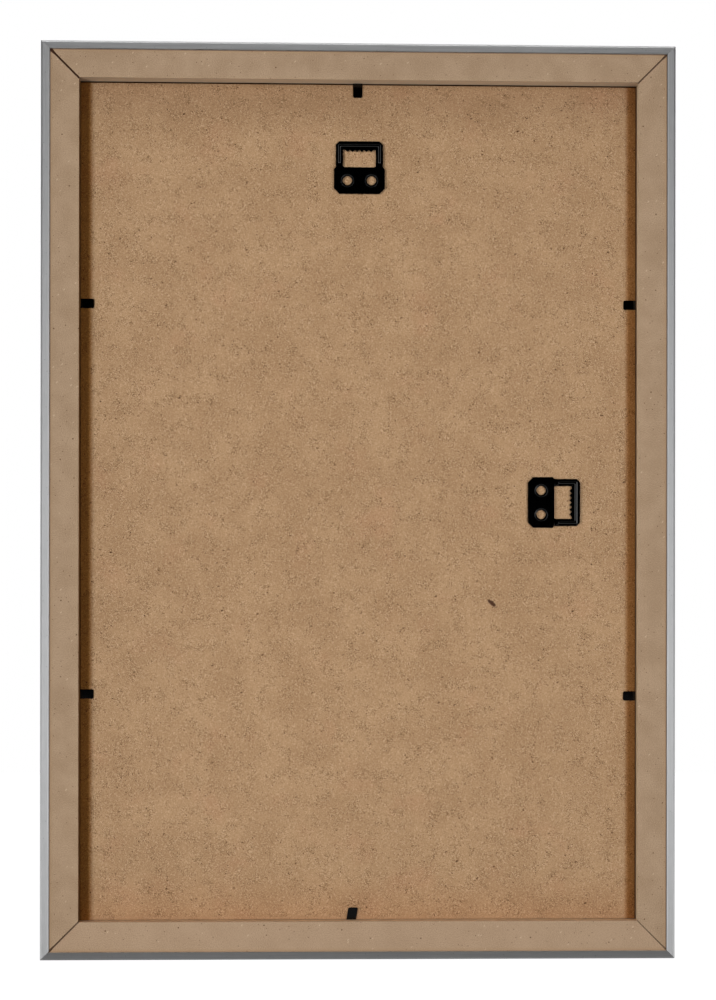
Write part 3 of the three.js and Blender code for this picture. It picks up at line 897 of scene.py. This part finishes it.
def add_prongs(mesh, x, z, top):
    """The four petals that a hole leaves, folded down into the board."""
    flat = (HOLE_REACH - HOLE_RADIUS) / math.sqrt(2) + HOLE_RADIUS + PRONG_CLEAR
    half = flat - HOLE_RADIUS + PRONG_WIDER
    low = top - HANGER_SHEET - PRONG_DEPTH
    for quarter in range(4):
        turn = Matrix.Rotation(math.pi / 4 + quarter * math.pi / 2, 3, "Y")
        corners = [(-half, top - HANGER_SHEET / 2), (-half, top - HANGER_SHEET), (0, low),
                   (half, top - HANGER_SHEET), (half, top - HANGER_SHEET / 2)]
        rings = []
        for depth in (flat, flat + PRONG_SHEET):
            places = [turn @ Vector((a, 0, depth)) + Vector((x, b, z)) for a, b in corners]
            rings.append([mesh.verts.new(place) for place in places])
        bridge(mesh, rings[0], rings[1])
        for ring in rings:
            mesh.faces.new(ring)


def mark_raised(piece, level):
    """Stores at each vertex how far the press raised it above a level."""
    raised = piece.data.attributes.new("raised", "FLOAT", "POINT")
    for vertex, item in zip(piece.data.vertices, raised.data):
        item.value = max(vertex.co.y - level, 0.0)


def hanger(name, material):
    """One pressed hanger, plate and bail, that bends at its neck. Gives the piece."""
    joint = JOINTS[name.replace("hanger", "bail_bend")]
    top = joint["pos_m"][1]
    hole_z = -WINDOW_HEIGHT - PLATE_HEIGHT / 2
    holes_x = (-HOLE_HALF_SPACING, HOLE_HALF_SPACING)
    bend = -WINDOW_HEIGHT + NECK / 2
    creases = [bend + NECK * k / 12 for k in range(-6, 7)]
    relief = bead_loops() + [loop for x in holes_x for loop in ring_loops(x, hole_z)]
    holes = [divided(window_edge(), creases)] + [diamond_edge(x, hole_z) for x in holes_x]
    mesh = pressed_sheet(divided(hanger_edge(), creases), holes, relief, top, HANGER_SHEET, SHEET_EDGE)
    for x in holes_x:
        add_prongs(mesh, x, hole_z, top)
    mesh.transform(Matrix.Translation((0, 0, -bend)))
    across = seat(mesh, joint)
    piece = new_piece(name, mesh, material)
    mark_raised(piece, top)
    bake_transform(piece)
    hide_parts(name + "_plate", name + "_bail")
    return piece


def tab(name, material):
    """One strip, driven into the moulding, with a tongue that bends at the wall. Gives the piece."""
    joint = JOINTS[name + "_bend"]
    lean = TAB_LEAN.get(name, 0.0)
    across = UP.cross(Vector(joint["axis"]))
    pivot = Vector(joint["pos_m"])
    reach = max((corner - pivot).dot(across) for corner in map(Vector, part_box(name)))
    slope = math.tan(lean)
    corners = [
        (-TAB_HALF, -TAB_SHANK, 0),
        (TAB_HALF, -TAB_SHANK, 0),
        (TAB_HALF, reach, TAB_TIP_RADIUS),
        (-TAB_HALF, reach, TAB_TIP_RADIUS),
    ]
    creases = [-TAB_EDGE] + [TAB_BEND * k / 4 for k in range(5)]
    outline = divided(rounded(corners), creases)
    leaning = [Vector((p.x / math.cos(lean) + p.y * slope, p.y)) for p in outline]
    mesh = pressed_sheet(leaning, [], [], joint["pos_m"][1], TAB_SHEET, TAB_EDGE)
    seat(mesh, joint)
    piece = new_piece(name + "_strip", mesh, material)
    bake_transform(piece)
    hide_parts(name, name + "_shank")
    return piece


# Flat sheets and nails


def back_board(material):
    """The board that closes the back, its edges a little worn."""
    low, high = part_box("back_panel")
    head = high.z + TOP_WALL_BACK
    left, right = high.x + BOARD_WIDER, low.x - BOARD_WIDER
    corners = [(right, low.z), (left, low.z), (left, head), (right, head)]
    outline = rounded([(x, z, BOARD_CORNER) for x, z in corners])
    mesh = pressed_sheet(outline, [], [], high.y, high.y - low.y, BOARD_EDGE)
    piece = new_piece("back_board", mesh, material)
    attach(piece, "back")
    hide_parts("back_panel")


def dress(node, material, arris=0.0):
    """Gives a CAD node its finish, with its edges eased where arris is given."""
    piece = frame["nodes"][node]
    piece.data.materials.clear()
    piece.data.materials.append(material)
    if arris:
        eased = piece.modifiers.new("arris", "BEVEL")
        eased.width = arris
        eased.segments = 2


# Studio


def lamp(name, place, aim, size, power, beam):
    """A rectangular lamp that the camera doesn't see."""
    data = bpy.data.lights.new(name, "AREA")
    data.shape = "RECTANGLE"
    data.size, data.size_y = size
    data.energy = power
    data.spread = beam
    made = bpy.data.objects.new(name, data)
    made.location = place
    made.rotation_euler = (Vector(aim) - Vector(place)).to_track_quat("-Z", "Y").to_euler()
    made.visible_camera = False
    bpy.context.scene.collection.objects.link(made)
    return made


def lamps(shiny):
    """A strip lamp at each side behind the frame, and two softer ones at the picture side.

    The strips pass the shiny pieces by: their sheen shows the room alone.
    """
    passed_by = bpy.data.collections.new("passed_by")
    for piece in shiny:
        passed_by.objects.link(piece)
    for item in passed_by.collection_objects:
        item.light_linking.link_state = "EXCLUDE"
    left = (HALF_OPEN_X + LEFT_SLOPE * LEFT_DISTANCE, LEFT_DISTANCE, MIDDLE_Z)
    right = (-HALF_OPEN_X - RIGHT_SLOPE * RIGHT_DISTANCE, RIGHT_DISTANCE, MIDDLE_Z)
    strip = (LAMP_WIDTH, LAMP_HEIGHT)
    for made in (
        lamp("left_strip", left, (LEFT_AIM, 0, MIDDLE_Z), strip, LEFT_POWER, LEFT_BEAM),
        lamp("right_strip", right, (RIGHT_AIM, 0, MIDDLE_Z), strip, RIGHT_POWER, RIGHT_BEAM),
    ):
        made.light_linking.receiver_collection = passed_by
    for side in (-1, 1):
        place = (side * FRONT_ASIDE, -FRONT_DISTANCE, MIDDLE_Z + FRONT_RISE)
        lamp("front_softbox", place, (0, 0, MIDDLE_Z), FRONT_SIZE, FRONT_POWER, math.pi)


def world():
    """White to the eye. Gloss shows a backdrop on the picture side, and behind the frame a dim room.

    The room has a light overhead and two bright side walls, brightest low down.
    """
    made = bpy.data.worlds.new("studio")
    made.use_nodes = True
    tree = made.node_tree
    path = add(tree, "ShaderNodeLightPath").outputs
    direction = add(tree, "ShaderNodeTexCoord").outputs["Generated"]
    x, y, z = add(tree, "ShaderNodeSeparateXYZ", {0: direction}).outputs
    overhead = ramp(tree, z, 0.9, 0.97, ROOM_DIM, ROOM_TOP)
    beside = ramp(tree, z, -0.35, 0.35, WALL_LOW, WALL_HIGH)
    beside = times(tree, beside, ramp(tree, x, -0.2, 0.2, WALL_RIGHT, WALL_LEFT))
    beside = times(tree, beside, ramp(tree, y, 0.25, 0.55, WALL_EDGE_ON, 1.0))
    sideways = ramp(tree, math_node(tree, "ABSOLUTE", x), 0.2, 0.9)
    over_to_beside = math_node(tree, "SUBTRACT", beside, overhead)
    walls = math_node(tree, "MULTIPLY_ADD", sideways, over_to_beside, overhead)
    walls = times(tree, walls, ramp(tree, y, 0.7, 0.95, 1.0, ROOM_BEHIND))
    walls = times(tree, walls, ramp(tree, y, -0.7, -0.3, WALL_FRONT, 1.0))
    panel = ramp(tree, y, -0.95, -0.8, BACKDROP, 0.0)
    backdrop = math_node(tree, "MAXIMUM", panel, walls)
    seen = math_node(tree, "MAXIMUM", path["Is Camera Ray"], path["Is Transmission Ray"])
    shown = math_node(tree, "MULTIPLY", path["Is Glossy Ray"], backdrop)
    plain = math_node(tree, "SUBTRACT", 1.0, math_node(tree, "MAXIMUM", seen, path["Is Glossy Ray"]))
    fill = math_node(tree, "MULTIPLY", plain, AMBIENT)
    strength = math_node(tree, "ADD", math_node(tree, "MAXIMUM", seen, shown), fill)
    background = tree.nodes["Background"]
    background.inputs["Color"].default_value = (1, 1, 1, 1)
    tree.links.new(strength, background.inputs["Strength"])
    bpy.context.scene.world = made


def floor():
    """A pale floor below the hanging frame, plain white away from it."""
    mesh = bmesh.new()
    bmesh.ops.create_circle(mesh, cap_ends=True, segments=96, radius=FLOOR_RADIUS)
    data = bpy.data.meshes.new("floor")
    mesh.to_mesh(data)
    mesh.free()
    made = bpy.data.objects.new("floor", data)
    made.location = (0, 0, CAD_BOX[0].z - FLOOR_DROP)
    bpy.context.scene.collection.objects.link(made)

    material, tree, shader = new_material("pale_floor")
    shader.inputs["Base Color"].default_value = (0.8, 0.8, 0.8, 1)
    shader.inputs["Roughness"].default_value = 0.9
    shader.inputs["Specular IOR Level"].default_value = 0.1
    path = add(tree, "ShaderNodeLightPath").outputs
    place = object_place(tree)
    away = add(tree, "ShaderNodeVectorMath", {0: place}, operation="LENGTH").outputs["Value"]
    far = ramp(tree, away, 0.3, 1.2)
    seen = math_node(tree, "MAXIMUM", path["Is Camera Ray"], path["Is Transmission Ray"])
    beside = math_node(tree, "ABSOLUTE", add(tree, "ShaderNodeSeparateXYZ", {0: place}).outputs[0])
    gloss = path["Is Glossy Ray"]
    sheen = times(tree, gloss, ramp(tree, beside, 0.6, 1.6, FLOOR_SHEEN, FLOOR_SHEEN_BESIDE))
    anything = math_node(tree, "MAXIMUM", seen, sheen)
    near = math_node(tree, "MULTIPLY_ADD", gloss, FLOOR_GLOSS, times(tree, seen, FLOOR_GLOW))
    glow = math_node(tree, "MAXIMUM", math_node(tree, "MULTIPLY", anything, far), near)
    shader.inputs["Emission Color"].default_value = (1, 1, 1, 1)
    tree.links.new(glow, shader.inputs["Emission Strength"])
    data.materials.append(material)


def camera():
    """Behind the frame and a little low, with the lens shifted up."""
    data = bpy.data.cameras.new("camera")
    data.lens = FOCAL_LENGTH
    data.sensor_width = SENSOR
    data.shift_y = LENS_RISE
    made = bpy.data.objects.new("camera", data)
    facing = Matrix.Rotation(math.pi, 4, "Z") @ Matrix.Rotation(math.pi / 2, 4, "X")
    turned = Matrix.Rotation(CAMERA_YAW, 4, "Z") @ Matrix.Rotation(CAMERA_ROLL, 4, "Y") @ facing
    made.matrix_world = Matrix.Translation(CAMERA_PLACE) @ turned
    bpy.context.scene.collection.objects.link(made)
    bpy.context.scene.camera = made


def main():
    scene = bpy.context.scene
    scene.view_settings.view_transform = "Standard"
    camera()
    world()
    floor()

    foils = {
        "rail": foil_material("foil_along_x", (60, 1, 1), 0.0),
        # The stiles' foil carries a painted highlight along its back edge.
        "stile": foil_material("foil_along_z", (1, 1, 60), 0.6),
    }
    shiny = mouldings(mdf_material(), foils)
    lacquer = lacquer_material()
    shiny += [hanger(name, lacquer) for name in ("portrait_hanger", "landscape_hanger")]
    shiny += [tab(name.removesuffix("_bend"), lacquer) for name in JOINTS if name.endswith("_tab_bend")]
    lamps(shiny)

    back_board(board_material())
    dress("insert_sheet", card_material())
    dress("glazing_pane", glass_material(), PANE_ARRIS)
    steel = steel_material()
    for node in frame["nodes"]:
        if node.startswith("v_nail"):
            dress(node, steel)


main()
